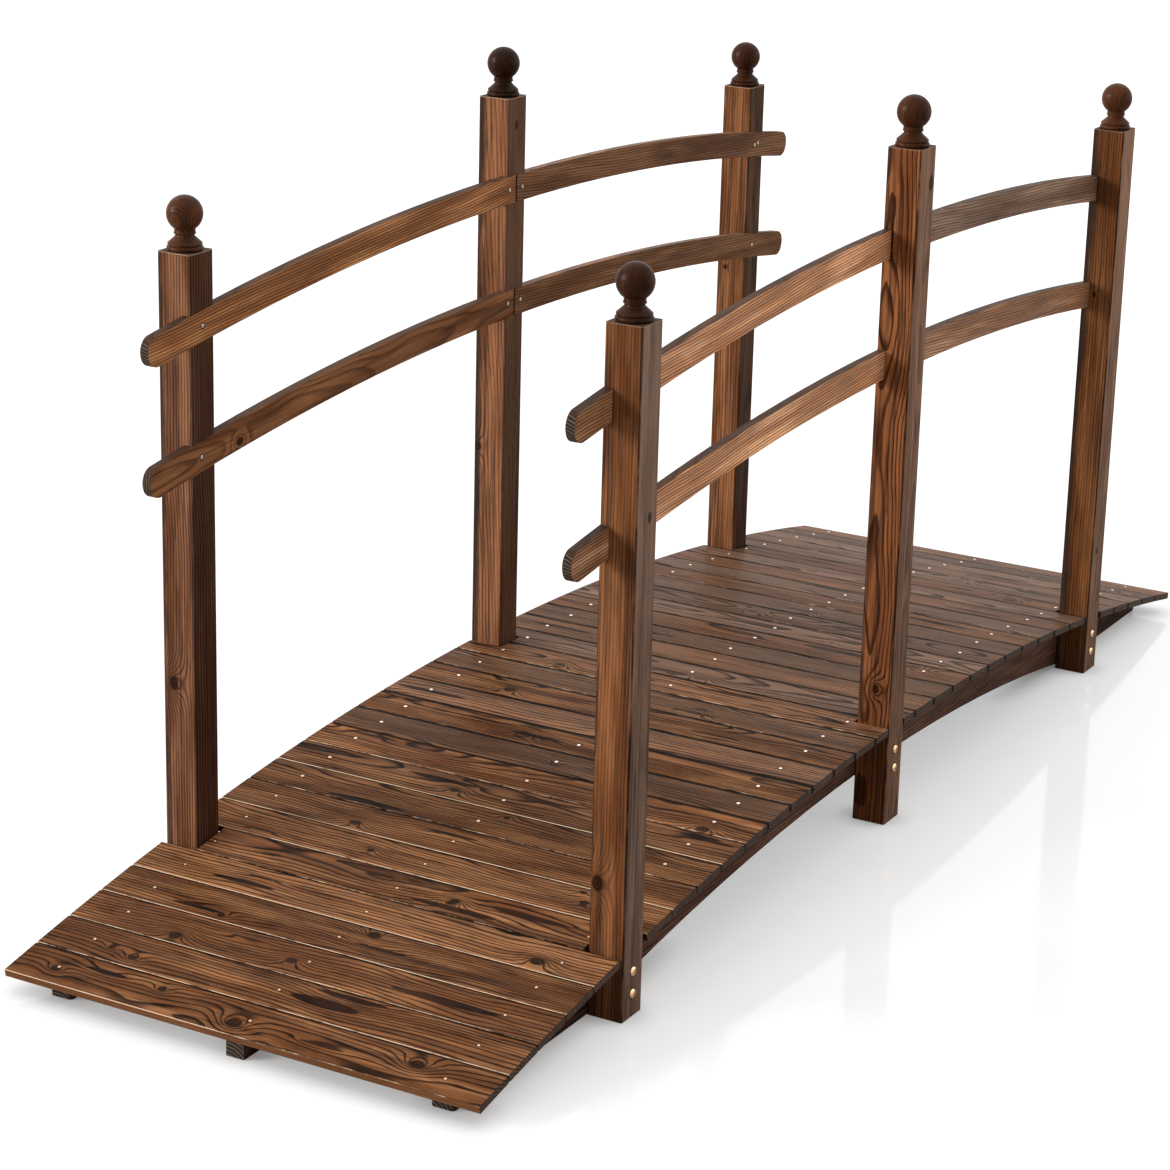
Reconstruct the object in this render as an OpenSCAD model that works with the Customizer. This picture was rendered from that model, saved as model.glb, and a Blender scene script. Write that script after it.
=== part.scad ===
// Arched wooden garden bridge with a plank deck, two curved rails on each side and ball finials.
// X runs along the bridge, Y across it and Z up. The origin is on the ground under the crown.

/* [Deck] */
// Width of one deck board, along the bridge
board_w = 62.5; // [50:0.5:80]
// Gap between two deck boards
board_gap = 2; // [1:0.5:4]
// Thickness of a deck board
board_t = 10; // [8:1:20]
// Radius of a deck board's long edges
board_edge_r = 1.2; // [0.5:0.1:2]
// Boards from each end of the bridge to the short board at the end posts
end_boards = 5; // [3:1:8]
// Boards from the crown of the bridge to the short board at the end posts
span_boards = 11; // [8:1:13]
// Height of the deck's top at the crown
crown_z = 141; // [125:1:200]
// Radius of the deck's bow, at its top
bow_r = 5400; // [5000:50:7000]
// Gap between the middle posts and the boards cut round them, along the bridge
cut_gap_x = 2; // [1:0.5:6]
// Gap between the posts and the boards cut round them, across the bridge
cut_gap_y = 4; // [1:0.5:8]

/* [Beams] */
// Width over the side beams' outer faces
beam_span = 570; // [450:5:800]
// Thickness of a side beam
side_beam_t = 32; // [25:1:45]
// Thickness of the centre beam
centre_beam_t = 25; // [20:1:45]
// Height of the arch under the beams
arch_h = 63; // [30:1:80]
// Half the width of the arch, on the ground
arch_half_w = 755; // [600:5:850]
// Set-back of the centre beam's ends behind the deck's ends
centre_set_back = 6; // [2:1:30]
// Set-back of the side beams' ends behind the deck's ends
side_set_back = 26; // [10:1:60]
// Corner radius of the side beams' ends, seen from above
beam_end_r = 6; // [2:1:10]

/* [Posts] */
// Width and depth of a post
post_w = 48; // [40:1:70]
// Height of an end post
end_post_h = 849; // [780:1:1000]
// Rise from the end posts' tops to the middle posts' tops
middle_post_rise = 85; // [70:1:110]
// Radius of a post's long edges
post_edge_r = 2.5; // [1:0.5:5]

/* [Rails] */
// Height of a rail
rail_h = 38.5; // [25:0.5:60]
// Thickness of a rail
rail_t = 12; // [8:1:20]
// Radius of the rails' bow, at their top
rail_bow_r = 5600; // [5000:50:7000]
// Drop from the middle posts' tops to the upper rails' top
rail_drop = 108; // [80:1:160]
// Drop from the upper rails' top to the lower rails' top
rail_pitch = 162; // [120:1:240]
// Length of a rail past the centre of its end post
rail_tail = 111; // [60:1:160]

/* [Finials] */
// Diameter of a finial's ball
ball_d = 45; // [36:0.5:50]
// Diameter of a finial's base ring
base_ring_d = 45; // [36:0.5:48]
// Diameter of a finial's neck
neck_d = 23.5; // [18:0.5:28]

/* [Hidden] */

LEFT = 1;
RIGHT = -1;
FRONT = -1;
MIDDLE = 0;
REAR = 1;
DARK_FIR = [0.36, 0.22, 0.14];
WARM_FIR = [0.45, 0.28, 0.17];
BEAM_FIR = [0.24, 0.15, 0.10];

bow_z = crown_z - bow_r;
board_pitch_a = (board_w + board_gap) / bow_r * 180 / PI;
span_n = round(span_boards);
half_boards = span_n + 1 + round(end_boards);
deck_end_x = bow_r * sin(half_boards * board_pitch_a);
post_x = bow_r * sin((span_n + 0.5) * board_pitch_a);
post_in_y = beam_span / 2;
deck_half_w = post_in_y + post_w;
middle_post_h = end_post_h + middle_post_rise;
upper_rail_z = middle_post_h - rail_drop;
lower_rail_z = upper_rail_z - rail_pitch;
rail_end_x = post_x + rail_tail;
rail_nose_flat = 2;
rail_nose_r = (rail_h - rail_nose_flat) / 2;
arch_r = (arch_half_w * arch_half_w + arch_h * arch_h) / (2 * arch_h);
seat_gap = 0.1;
joint_gap = 0.3;
butt_gap = 1.2;
past = 1;
bow_fn = 1440;

// A rectangle about the origin with its corners rounded
module rounded_rect(w, d, r) {
    square([w, d - 2 * r], center = true);
    square([w - 2 * r, d], center = true);
    for (x = [-1, 1], y = [-1, 1])
        translate([x * (w / 2 - r), y * (d / 2 - r)]) circle(r = r, $fn = 32);
}

// A flat profile in X and Z, made t thick from y towards the outside
module upright(y, t) {
    translate([0, y + t, 0]) rotate([90, 0, 0]) linear_extrude(height = t) children();
}

// The curved band that a rail is sawn to, from its top down by h
module rail_band(top_z, h) {
    difference() {
        translate([0, top_z - rail_bow_r]) circle(r = rail_bow_r, $fn = bow_fn);
        translate([0, top_z - rail_bow_r]) circle(r = rail_bow_r - h, $fn = bow_fn);
    }
}

// All that lies before a rail's end, which is a full round nose with a narrow flat
module rail_end_outline(top_z) {
    end_a = asin(rail_end_x / rail_bow_r);
    translate([0, top_z - rail_bow_r]) rotate(-end_a) translate([0, rail_bow_r - rail_h / 2]) {
        translate([-2 * rail_end_x, -rail_end_x]) square([2 * rail_end_x - rail_nose_r, 2 * rail_end_x]);
        translate([-rail_nose_r, -rail_nose_flat / 2]) square([rail_nose_r, rail_nose_flat]);
        for (z = [-1, 1])
            translate([-rail_nose_r, z * rail_nose_flat / 2]) circle(r = rail_nose_r, $fn = 64);
    }
}

// One rail, from the butt joint on the middle post past the end post
module rail(side, place, top_z) {
    color(WARM_FIR)
    mirror([0, side == RIGHT ? 1 : 0, 0]) mirror([place == FRONT ? 1 : 0, 0, 0])
    upright(post_in_y, rail_t) intersection() {
        rail_band(top_z, rail_h);
        rail_end_outline(top_z);
        translate([butt_gap / 2, 0]) square([2 * rail_end_x, top_z]);
    }
}

// The notch that lets a rail into a post's inner face
module rail_notch(x, top_z) {
    translate([0, -past, 0]) upright(post_in_y, rail_t + past) intersection() {
        rail_band(top_z + joint_gap, rail_h + 2 * joint_gap);
        translate([x - post_w, 0]) square([2 * post_w, top_z + past]);
    }
}

function post_h(place) = place == MIDDLE ? middle_post_h : end_post_h;

// A post on the ground, outside its side beam, notched for both rails
module post(side, place) {
    color(DARK_FIR)
    mirror([0, side == RIGHT ? 1 : 0, 0])
    difference() {
        translate([place * post_x, post_in_y + post_w / 2, 0])
            linear_extrude(height = post_h(place)) rounded_rect(post_w, post_w, post_edge_r);
        rail_notch(place * post_x, upper_rail_z);
        rail_notch(place * post_x, lower_rail_z);
    }
}

// Half the outline of a finial, from its base ring up over the ball
module finial_outline() {
    base_h = 6.5;
    groove_h = 0.8;
    groove_in = 2.5;
    shoulder_in = 1.2;
    shoulder_r = 1.2;
    flare_a = 42;
    cove_r = 4;
    neck_h = 0.5;
    bead_h = 2.4;
    bead_out = 2;
    collar_out = 1.2;
    ball_lift = 1;
    base_r = base_ring_d / 2;
    neck_r = neck_d / 2;
    shoulder = [base_r - shoulder_in - shoulder_r, base_h + groove_h + shoulder_r];
    flare_foot = shoulder + shoulder_r * [sin(flare_a), cos(flare_a)];
    flare_top_x = neck_r + cove_r * (1 - sin(flare_a));
    flare_top_z = flare_foot[1] + (flare_foot[0] - flare_top_x) * tan(flare_a);
    cove = [neck_r + cove_r, flare_top_z + cove_r * cos(flare_a)];
    bead_z = cove[1] + neck_h + bead_h / 2;
    ball_z = bead_z + ball_lift + ball_d / 2;
    // Base ring and the groove above it
    square([base_r - base_h / 2, base_h]);
    translate([base_r - base_h / 2, base_h / 2]) circle(d = base_h, $fn = 40);
    square([base_r - groove_in, shoulder[1]]);
    // Shoulder, and the flare up from it that a cove rounds into the neck
    translate([0, shoulder[1] - shoulder_r]) square([shoulder[0], 2 * shoulder_r]);
    translate(shoulder) circle(r = shoulder_r, $fn = 32);
    polygon([[0, shoulder[1]], [shoulder[0], shoulder[1]], flare_foot, [flare_top_x, flare_top_z],
        [0, flare_top_z]]);
    difference() {
        translate([0, flare_top_z]) square([flare_top_x, cove[1] - flare_top_z]);
        translate(cove) circle(r = cove_r, $fn = 64);
    }
    // Neck, bead and the collar under the ball
    square([neck_r, bead_z]);
    translate([0, bead_z - bead_h / 2]) square([neck_r + bead_out - bead_h / 2, bead_h]);
    translate([neck_r + bead_out - bead_h / 2, bead_z]) circle(d = bead_h, $fn = 32);
    translate([0, bead_z]) square([neck_r + collar_out, ball_z - bead_z]);
    // Ball
    translate([0, ball_z]) intersection() {
        circle(d = ball_d, $fn = 96);
        translate([0, -ball_d]) square([ball_d, 2 * ball_d]);
    }
}

// A turned finial on top of its post
module finial(side, place) {
    color(DARK_FIR)
    translate([place * post_x, side * (post_in_y + post_w / 2), post_h(place)])
        rotate_extrude($fn = 96) finial_outline();
}

// The side view of a beam: bowed top, arched underside, flat feet on the ground
module beam_outline(end_x) {
    difference() {
        intersection() {
            translate([0, bow_z]) circle(r = bow_r - board_t - seat_gap, $fn = bow_fn);
            translate([-end_x, 0]) square([2 * end_x, crown_z]);
        }
        translate([0, arch_h - arch_r]) circle(r = arch_r, $fn = bow_fn);
    }
}

// A side beam, with the corners of its ends rounded
module side_beam(side) {
    end_x = deck_end_x - side_set_back;
    color(BEAM_FIR)
    mirror([0, side == RIGHT ? 1 : 0, 0]) intersection() {
        upright(post_in_y - side_beam_t, side_beam_t) beam_outline(end_x + past);
        translate([0, post_in_y - side_beam_t / 2, 0])
            linear_extrude(height = crown_z) rounded_rect(2 * end_x, side_beam_t, beam_end_r);
    }
}

module centre_beam() {
    color(BEAM_FIR)
    upright(-centre_beam_t / 2, centre_beam_t) beam_outline(deck_end_x - centre_set_back);
}

// Deck board number i, counted from the crown, lying flat on the bow and centred on the bridge
module board(i, half_w) {
    translate([0, 0, bow_z]) rotate([0, (i + 0.5) * board_pitch_a, 0])
        translate([0, 0, bow_r - board_t / 2]) upright(-half_w, 2 * half_w)
            rounded_rect(board_w, board_t, board_edge_r);
}

// Whole boards from number first to number last
module deck_run(first, last) {
    color(WARM_FIR)
    for (i = [first : last]) board(i, deck_half_w);
}

// The short board that fits between a pair of end posts
module post_board(place) {
    color(WARM_FIR)
    board(place == FRONT ? -span_n - 1 : span_n, post_in_y - cut_gap_y);
}

// The two boards at the crown, each cut half round the middle posts
module middle_boards() {
    cut_w = post_w + 2 * cut_gap_x;
    color(WARM_FIR)
    difference() {
        for (i = [-1, 0]) board(i, deck_half_w);
        for (side = [LEFT, RIGHT])
            translate([-cut_w / 2, side * (post_in_y - cut_gap_y + post_w) - post_w, 0])
                cube([cut_w, 2 * post_w, crown_z + past]);
    }
}

post(LEFT, FRONT);  // post_left_front
post(LEFT, MIDDLE);  // post_left_middle
post(LEFT, REAR);  // post_left_rear
post(RIGHT, FRONT);  // post_right_front
post(RIGHT, MIDDLE);  // post_right_middle
post(RIGHT, REAR);  // post_right_rear
finial(LEFT, FRONT);  // finial_left_front
finial(LEFT, MIDDLE);  // finial_left_middle
finial(LEFT, REAR);  // finial_left_rear
finial(RIGHT, FRONT);  // finial_right_front
finial(RIGHT, MIDDLE);  // finial_right_middle
finial(RIGHT, REAR);  // finial_right_rear
rail(LEFT, FRONT, upper_rail_z);  // rail_upper_left_front
rail(LEFT, REAR, upper_rail_z);  // rail_upper_left_rear
rail(RIGHT, FRONT, upper_rail_z);  // rail_upper_right_front
rail(RIGHT, REAR, upper_rail_z);  // rail_upper_right_rear
rail(LEFT, FRONT, lower_rail_z);  // rail_lower_left_front
rail(LEFT, REAR, lower_rail_z);  // rail_lower_left_rear
rail(RIGHT, FRONT, lower_rail_z);  // rail_lower_right_front
rail(RIGHT, REAR, lower_rail_z);  // rail_lower_right_rear
side_beam(LEFT);  // beam_left
centre_beam();  // beam_centre
side_beam(RIGHT);  // beam_right
deck_run(-half_boards, -span_n - 2);  // deck_front_end
post_board(FRONT);  // deck_front_post_board
deck_run(-span_n, -2);  // deck_front_span
middle_boards();  // deck_middle_boards
deck_run(1, span_n - 1);  // deck_rear_span
post_board(REAR);  // deck_rear_post_board
deck_run(span_n + 1, half_boards - 1);  // deck_rear_end
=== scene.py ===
"""Looks of a low arched garden bridge in dark stained fir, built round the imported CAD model.

Sizes are in metres in the frame of the CAD model, and in millimetres inside the wood materials.
X runs along the bridge towards the rear, Y across it towards the left side and Z up.
"""
import math
import random

import bpy
from mathutils import Matrix, Vector


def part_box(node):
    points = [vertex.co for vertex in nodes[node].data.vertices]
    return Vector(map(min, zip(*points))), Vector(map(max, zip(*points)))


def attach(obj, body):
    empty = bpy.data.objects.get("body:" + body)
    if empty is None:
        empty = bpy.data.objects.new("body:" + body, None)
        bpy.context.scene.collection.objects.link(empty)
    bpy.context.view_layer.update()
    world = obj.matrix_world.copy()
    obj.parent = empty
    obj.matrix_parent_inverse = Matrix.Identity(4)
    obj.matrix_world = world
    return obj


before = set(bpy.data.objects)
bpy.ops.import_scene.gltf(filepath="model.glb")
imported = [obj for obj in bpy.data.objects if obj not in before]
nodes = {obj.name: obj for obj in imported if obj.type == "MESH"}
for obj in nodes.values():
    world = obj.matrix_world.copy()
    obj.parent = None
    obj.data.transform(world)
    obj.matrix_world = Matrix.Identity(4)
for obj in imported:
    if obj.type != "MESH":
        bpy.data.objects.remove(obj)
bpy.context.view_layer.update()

MM = 0.001
SIDES = {"left": 1, "right": -1}
PLACES = ("front", "middle", "rear")

# Bows, rails and boards of the CAD model
BOW_R = 5.4
RAIL_BOW_R = 5.6
RAIL_H = 38.5 * MM
BOARD_PITCH = 0.0645
BOARD_W = 0.0625
HALF_BOARDS = 17

# Places taken from the frame
crown_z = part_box("deck_middle_boards")[1].z
bow_z = crown_z - BOW_R
post_box = {(s, p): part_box(f"post_{s}_{p}") for s in SIDES for p in PLACES}
post_centre = {key: (low + high) / 2 for key, (low, high) in post_box.items()}
post_out_y = post_box["left", "middle"][1].y
post_in_y = post_box["left", "middle"][0].y
beam_in_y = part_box("beam_left")[0].y

# Colours of the wood, as linear light
EARLY = (0.215, 0.078, 0.027)
EARLY_PALE = (0.370, 0.160, 0.064)
LATE = (0.015, 0.0070, 0.0045)
CHAR = (0.007, 0.0050, 0.0042)
KNOT = (0.020, 0.0095, 0.006)
END_GRAIN = (0.085, 0.062, 0.052)
# Pale wear below also stands for painted highlights along the edges of boards and posts
WORN_AND_HIGHLIGHT = (0.85, 0.60, 0.41)
WORN_AND_HIGHLIGHT_BROWN = (0.40, 0.20, 0.10)

# Colours of the deck: the first board's front edge, and the grey film at the front and further back,
# which towards the rear also stands for a painted sheen
FRONT_EDGE = (0.190, 0.080, 0.034)
GREY_FILM_AND_SHEEN = (0.090, 0.062, 0.048)
FAR_FILM_AND_SHEEN = (0.125, 0.080, 0.058)

# Colours of the rails: tops, with a painted reflection on the left rear one, ends with their rings, and
# the tone of faces that don't face right, which lack the painted light of the right faces
TOP_SHEEN = (0.28, 0.21, 0.17)
DARK_TOP = (0.055, 0.034, 0.025)
RAIL_END = (0.030, 0.023, 0.019)
RAIL_END_LINE = (0.30, 0.23, 0.17)
BACK_TONE = (1.15, 1.10, 1.05)

# Colours of the posts: the dark band along the edge towards the left, and faces towards the right,
# painted as shade on the left posts and as a reflection of the pale floor on the right posts
FLANK = (0.026, 0.021, 0.019)
DARK_SHADED_SIDE = (0.044, 0.019, 0.010)
BROWN_SIDE_WITH_SHEEN = (0.205, 0.130, 0.096)

# Patches that each kind of mottling forms: length along the grain, width across it and depth
TONE_SIZE = (190.0, 22.0, 40.0)
BAND_SIZE = (260.0, 4.5, 4.5)
FIBRE_SIZE = (16.0, 0.8, 0.8)
STREAK_SIZE = (90.0, 1.7, 1.7)
SCORCH_SIZE = (70.0, 13.0, 30.0)
WOBBLE_SIZE = (110.0, 18.0, 18.0)

# Levels of the mottling from which wood turns pale, cool or scorched, and at which it is fully so
PALE_FROM = (-0.13, 0.16)
COOL_FROM = (-0.02, 0.14)
SCORCH_FROM = (0.0, 0.15)

# Growth rings: how far the pith wanders and over what length, and how uneven single rings are
SWAY = 26.0
SWAY_LENGTH = 260.0
RISE = 22.0
RISE_LENGTH = 210.0
WOBBLE = 1.2

# Late wood within a ring: where it starts, at the earliest and the latest, is full, and begins to end
LATE_STARTS = 0.34
LATE_STARTS_SPREAD = 0.26
LATE_FULL = 0.84
LATE_ENDS = 0.92

# Knots: how much longer than wide they are, how fast their two rises fall off, and their rings
KNOT_STRETCH = 1.5
KNOT_WIDE_FALL = 0.16
KNOT_TIGHT_FALL = 0.9
KNOT_RING_TURNS = 13.0

# A mark so far off that nothing shows of it
FAR = 10000.0
NO_KNOT = (FAR, 0.0, 1.0)

# How far a face's normal points one way when the face starts to count as facing it, and fully does
FACING = (0.6, 0.9)
FACING_SOFT = (0.5, 0.9)


class Value:
    """A number or colour that a material's nodes work out, with the usual signs for arithmetic."""

    def __init__(self, graph, socket):
        self.graph = graph
        self.socket = socket

    def __add__(self, other):
        return self.graph.math("ADD", self, other)

    def __radd__(self, other):
        return self.graph.math("ADD", other, self)

    def __sub__(self, other):
        return self.graph.math("SUBTRACT", self, other)

    def __rsub__(self, other):
        return self.graph.math("SUBTRACT", other, self)

    def __mul__(self, other):
        return self.graph.math("MULTIPLY", self, other)

    def __rmul__(self, other):
        return self.graph.math("MULTIPLY", other, self)

    def __truediv__(self, other):
        return self.graph.math("DIVIDE", self, other)

    def __abs__(self):
        return self.graph.math("ABSOLUTE", self)


class Graph:
    """The node tree of one material, written as formulas."""

    def __init__(self, name):
        self.material = bpy.data.materials.new(name)
        self.material.use_nodes = True
        self.tree = self.material.node_tree
        self.shader = self.tree.nodes["Principled BSDF"]

    def add(self, kind, **settings):
        node = self.tree.nodes.new(kind)
        for key, value in settings.items():
            setattr(node, key, value)
        return node

    def put(self, socket, value):
        if isinstance(value, Value):
            self.tree.links.new(value.socket, socket)
        elif isinstance(value, tuple) and len(value) == 3 and socket.type == "RGBA":
            socket.default_value = (*value, 1.0)
        else:
            socket.default_value = value

    def math(self, operation, *values):
        node = self.add("ShaderNodeMath", operation=operation)
        for socket, value in zip(node.inputs, values):
            self.put(socket, value)
        return Value(self, node.outputs[0])

    def split(self, vector):
        node = self.add("ShaderNodeSeparateXYZ")
        self.put(node.inputs[0], vector)
        return [Value(self, out) for out in node.outputs]

    def point(self, x, y, z):
        node = self.add("ShaderNodeCombineXYZ")
        for socket, value in zip(node.inputs, (x, y, z)):
            self.put(socket, value)
        return Value(self, node.outputs[0])

    def place(self):
        """Object coordinates in millimetres."""
        node = self.add("ShaderNodeTexCoord")
        return [value * 1000.0 for value in self.split(Value(self, node.outputs["Object"]))]

    def normal(self):
        node = self.add("ShaderNodeNewGeometry")
        return self.split(Value(self, node.outputs["True Normal"]))

    def own(self, name):
        """Three numbers that each object keeps under this name."""
        node = self.add("ShaderNodeAttribute", attribute_type="OBJECT", attribute_name=name)
        return self.split(Value(self, node.outputs["Vector"]))

    def own_colour(self, name):
        """A colour that each object keeps under this name."""
        node = self.add("ShaderNodeAttribute", attribute_type="OBJECT", attribute_name=name)
        return Value(self, node.outputs["Color"])

    def tint(self, colour, by):
        """A colour times a colour."""
        node = self.add("ShaderNodeVectorMath", operation="MULTIPLY")
        self.put(node.inputs[0], colour)
        self.put(node.inputs[1], by)
        return Value(self, node.outputs[0])

    def scaled(self, colour, factor):
        """A colour times a number."""
        node = self.add("ShaderNodeVectorMath", operation="SCALE")
        self.put(node.inputs[0], colour)
        self.put(node.inputs["Scale"], factor)
        return Value(self, node.outputs[0])

    def mix(self, factor, first, second):
        """The first colour where the factor is 0, and the second where it is 1."""
        node = self.add("ShaderNodeMix", data_type="RGBA")
        self.put(node.inputs[0], factor)
        self.put(node.inputs[6], first)
        self.put(node.inputs[7], second)
        return Value(self, node.outputs[2])

    def choose(self, factor, first, second):
        """The first three numbers where the factor is 0, and the second where it is 1."""
        node = self.add("ShaderNodeMix", data_type="VECTOR")
        self.put(node.inputs[0], factor)
        self.put(node.inputs[4], first)
        self.put(node.inputs[5], second)
        return Value(self, node.outputs[1])

    def step(self, value, low, high):
        """0 up to low, 1 from high, and smooth in between."""
        node = self.add("ShaderNodeMapRange", interpolation_type="SMOOTHSTEP")
        self.put(node.inputs["Value"], value)
        self.put(node.inputs["From Min"], low)
        self.put(node.inputs["From Max"], high)
        return Value(self, node.outputs["Result"])

    def noise(self, x, y, z, detail=2.0, roughness=0.5):
        """Smooth noise about 0, within a half, that varies over a distance of 1."""
        node = self.add("ShaderNodeTexNoise")
        self.put(node.inputs["Vector"], self.point(x, y, z))
        node.inputs["Scale"].default_value = 1.0
        node.inputs["Detail"].default_value = detail
        node.inputs["Roughness"].default_value = roughness
        return Value(self, node.outputs["Fac"]) - 0.5

    def dice(self, number):
        """Three random numbers from 0 to 1 that belong to a number."""
        node = self.add("ShaderNodeTexWhiteNoise", noise_dimensions="1D")
        self.put(node.inputs["W"], number)
        return self.split(Value(self, node.outputs["Color"]))

    def bump(self, height, distance):
        node = self.add("ShaderNodeBump")
        node.inputs["Strength"].default_value = 1.0
        node.inputs["Distance"].default_value = distance
        self.put(node.inputs["Height"], height)
        self.put(self.shader.inputs["Normal"], Value(self, node.outputs[0]))


def mottle(g, place, size, shift, detail=2.0, roughness=0.5):
    """Noise in patches of this size along the grain, across it and in depth."""
    along, across, depth = [value / reach for value, reach in zip(place, size)]
    return g.noise(along, across, depth + shift, detail, roughness)


def knot_field(g, along, across, at_along, at_across, size):
    """A wide and a tight rise that bend the rings about a knot, and the distance in knot radii."""
    dl = (along - at_along) / (size * KNOT_STRETCH)
    dc = (across - at_across) / size
    square = dl * dl + dc * dc
    wide = g.math("EXPONENT", square * -KNOT_WIDE_FALL)
    tight = g.math("EXPONENT", square * -KNOT_TIGHT_FALL)
    return wide, tight, g.math("SQRT", square)


def lens_field(g, along, across, at_along, at_across, half_length, half_width):
    """A long pointed patch of late wood: how near a point is to it, and how far it lies inside."""
    dl = abs(along - at_along) / half_length
    dc = (across - at_across) / half_width
    dl_square = dl * dl
    dc_square = dc * dc
    near = g.math("EXPONENT", dl_square * -0.8 + dc_square * -0.12)
    # The straight part of the fall along the grain makes the two ends pointed
    edge = dl_square * 0.7 + dl * 0.3 + dc_square
    return near, 1.0 - g.step(edge, 0.75, 1.0)


def fir_rings(g, place, seed, pith_across, pith_depth, lean, ring, bulge=0.0, wild=1.0):
    """Where a piece cuts through the growth rings of its log: late wood, and how much its rings vary."""
    along, across, depth = place
    sway = g.noise(along / SWAY_LENGTH, seed * 31.0, 0.5, detail=1.0) * (SWAY * wild)
    rise = g.noise(along / RISE_LENGTH, seed * 47.0, 8.5, detail=1.0) * (RISE * wild)
    a = across - pith_across + sway
    b = depth - pith_depth + rise + lean * along
    radius = g.math("SQRT", a * a + b * b) + bulge
    wobble = mottle(g, place, WOBBLE_SIZE, seed * 60.0) * (WOBBLE * wild)
    count = radius / ring + wobble
    whole = g.math("FLOOR", count)
    part = count - whole
    vary = g.dice(whole + seed * 17.0)[0]
    starts = LATE_STARTS + vary * LATE_STARTS_SPREAD
    late = g.step(part, starts, LATE_FULL) * (1.0 - g.step(part, LATE_ENDS, 1.0))
    return late, vary


def finish_wood(g, place, seed, late, vary, look, strength=1.0, knots=()):
    """Colour, gloss and relief of stained and varnished fir, and the fibre's strokes."""
    tone = mottle(g, place, TONE_SIZE, seed * 23.0)
    bands = mottle(g, place, BAND_SIZE, seed * 37.0)
    fibre = mottle(g, place, FIBRE_SIZE, seed * 9.0, detail=3.0, roughness=0.65)
    streak = mottle(g, place, STREAK_SIZE, seed * 13.0)
    scorch = mottle(g, place, SCORCH_SIZE, seed * 71.0, detail=3.0, roughness=0.6)

    # Early wood, pale or cool in patches, under the lines of late wood
    pale = g.step(tone + (seed - 0.5) * 0.2, *PALE_FROM)
    early = g.mix(pale, look["early"], look["pale"])
    early = g.mix(g.step(bands, *COOL_FROM) * look["bands"], early, look["cool"])
    body = g.mix(late * (0.84 + vary * 0.16) * strength, early, look["late"])

    # Scorched patches, darkest on the late wood
    burnt = g.step(scorch, *SCORCH_FROM) * (0.34 + late * 0.66) * look["scorch"]
    body = g.mix(burnt, body, CHAR)

    # Knots, each with a dark halo and with rings of its own inside
    for tight, radii in knots:
        rings = g.math("SINE", radii * KNOT_RING_TURNS) * 0.5 + 0.5
        inside = 1.0 - g.step(radii, 0.75, 1.05)
        body = g.mix(tight * 0.55, body, look["late"])
        body = g.mix(inside * (0.72 + rings * 0.28), body, KNOT)

    strokes = 0.95 + fibre * look["fibre"] + streak * look["streak"] + tone * look["cloud"]
    body = g.scaled(body, strokes)
    g.put(g.shader.inputs["Roughness"], look["rough"] + fibre * 0.25 + burnt * 0.15)
    g.shader.inputs["IOR"].default_value = look["ior"]
    g.bump(late * -0.7 + fibre * 0.7, look["relief"] * MM)
    return body, fibre


def end_grain(g, late, fibre):
    """Colour of a sawn end with its growth rings."""
    return g.scaled(g.mix(late * 0.8, END_GRAIN, LATE), 1.0 + fibre)


# Looks of the wood: its colours, how strong each kind of mottling is, gloss, and relief in millimetres
DECK_LOOK = {
    "early": EARLY,
    "pale": EARLY_PALE,
    "late": LATE,
    "cool": (0.090, 0.054, 0.038),
    "bands": 0.5,
    "scorch": 0.85,
    "fibre": 1.1,
    "streak": 0.9,
    "cloud": 0.9,
    "rough": 0.38,
    "ior": 1.08,
    "relief": 0.35,
}
POST_LOOK = {
    "early": (0.185, 0.066, 0.024),
    "pale": (0.310, 0.128, 0.052),
    "late": (0.024, 0.0088, 0.0045),
    "cool": (0.085, 0.043, 0.027),
    "bands": 0.75,
    "scorch": 0.45,
    "fibre": 0.6,
    "streak": 0.9,
    "cloud": 0.5,
    "rough": 0.40,
    "ior": 1.08,
    "relief": 0.22,
}
RAIL_LOOK = {
    "early": (0.190, 0.074, 0.029),
    "pale": (0.290, 0.130, 0.056),
    "late": (0.040, 0.0155, 0.0075),
    "cool": (0.100, 0.055, 0.035),
    "bands": 0.45,
    "scorch": 0.25,
    "fibre": 0.7,
    "streak": 1.0,
    "cloud": 0.7,
    "rough": 0.40,
    "ior": 1.09,
    "relief": 0.22,
}
BEAM_LOOK = {
    "early": (0.130, 0.058, 0.034),
    "pale": (0.190, 0.092, 0.056),
    "late": (0.026, 0.0125, 0.0085),
    "cool": (0.075, 0.046, 0.036),
    "bands": 0.6,
    "scorch": 0.7,
    "fibre": 0.6,
    "streak": 0.6,
    "cloud": 0.6,
    "rough": 0.45,
    "ior": 1.1,
    "relief": 0.25,
}
BALL_LOOK = {
    "early": (0.050, 0.0175, 0.0085),
    "pale": (0.078, 0.029, 0.013),
    "late": (0.013, 0.006, 0.004),
    "cool": (0.036, 0.018, 0.012),
    "bands": 0.4,
    "scorch": 0.3,
    "fibre": 0.35,
    "streak": 0.3,
    "cloud": 0.4,
    "rough": 0.27,
    "ior": 1.15,
    "relief": 0.03,
}

# Added to a board's number, these give its dice for its cut, its knot, its wear and its lens
CUT_DICE = 0.37
KNOT_DICE = 90.37
WEAR_DICE = 180.37
LENS_DICE = 270.37

# Knots and lenses at random: the stretches of a board that they fall in, in millimetres
MARKS_Y = 560.0
KNOTS_U = 44.0
LENSES_U = 46.0

# Stretches along the bridge over which the deck's look changes, in millimetres from its middle
RAMP_DARKENS = (-730.0, -600.0)
GREY_AND_SHEEN_BEGINS = (-520.0, -330.0)
SPAN_LIGHTENS = (-500.0, -200.0)
REAR_SHEEN_BEGINS = (-300.0, 100.0)

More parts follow.
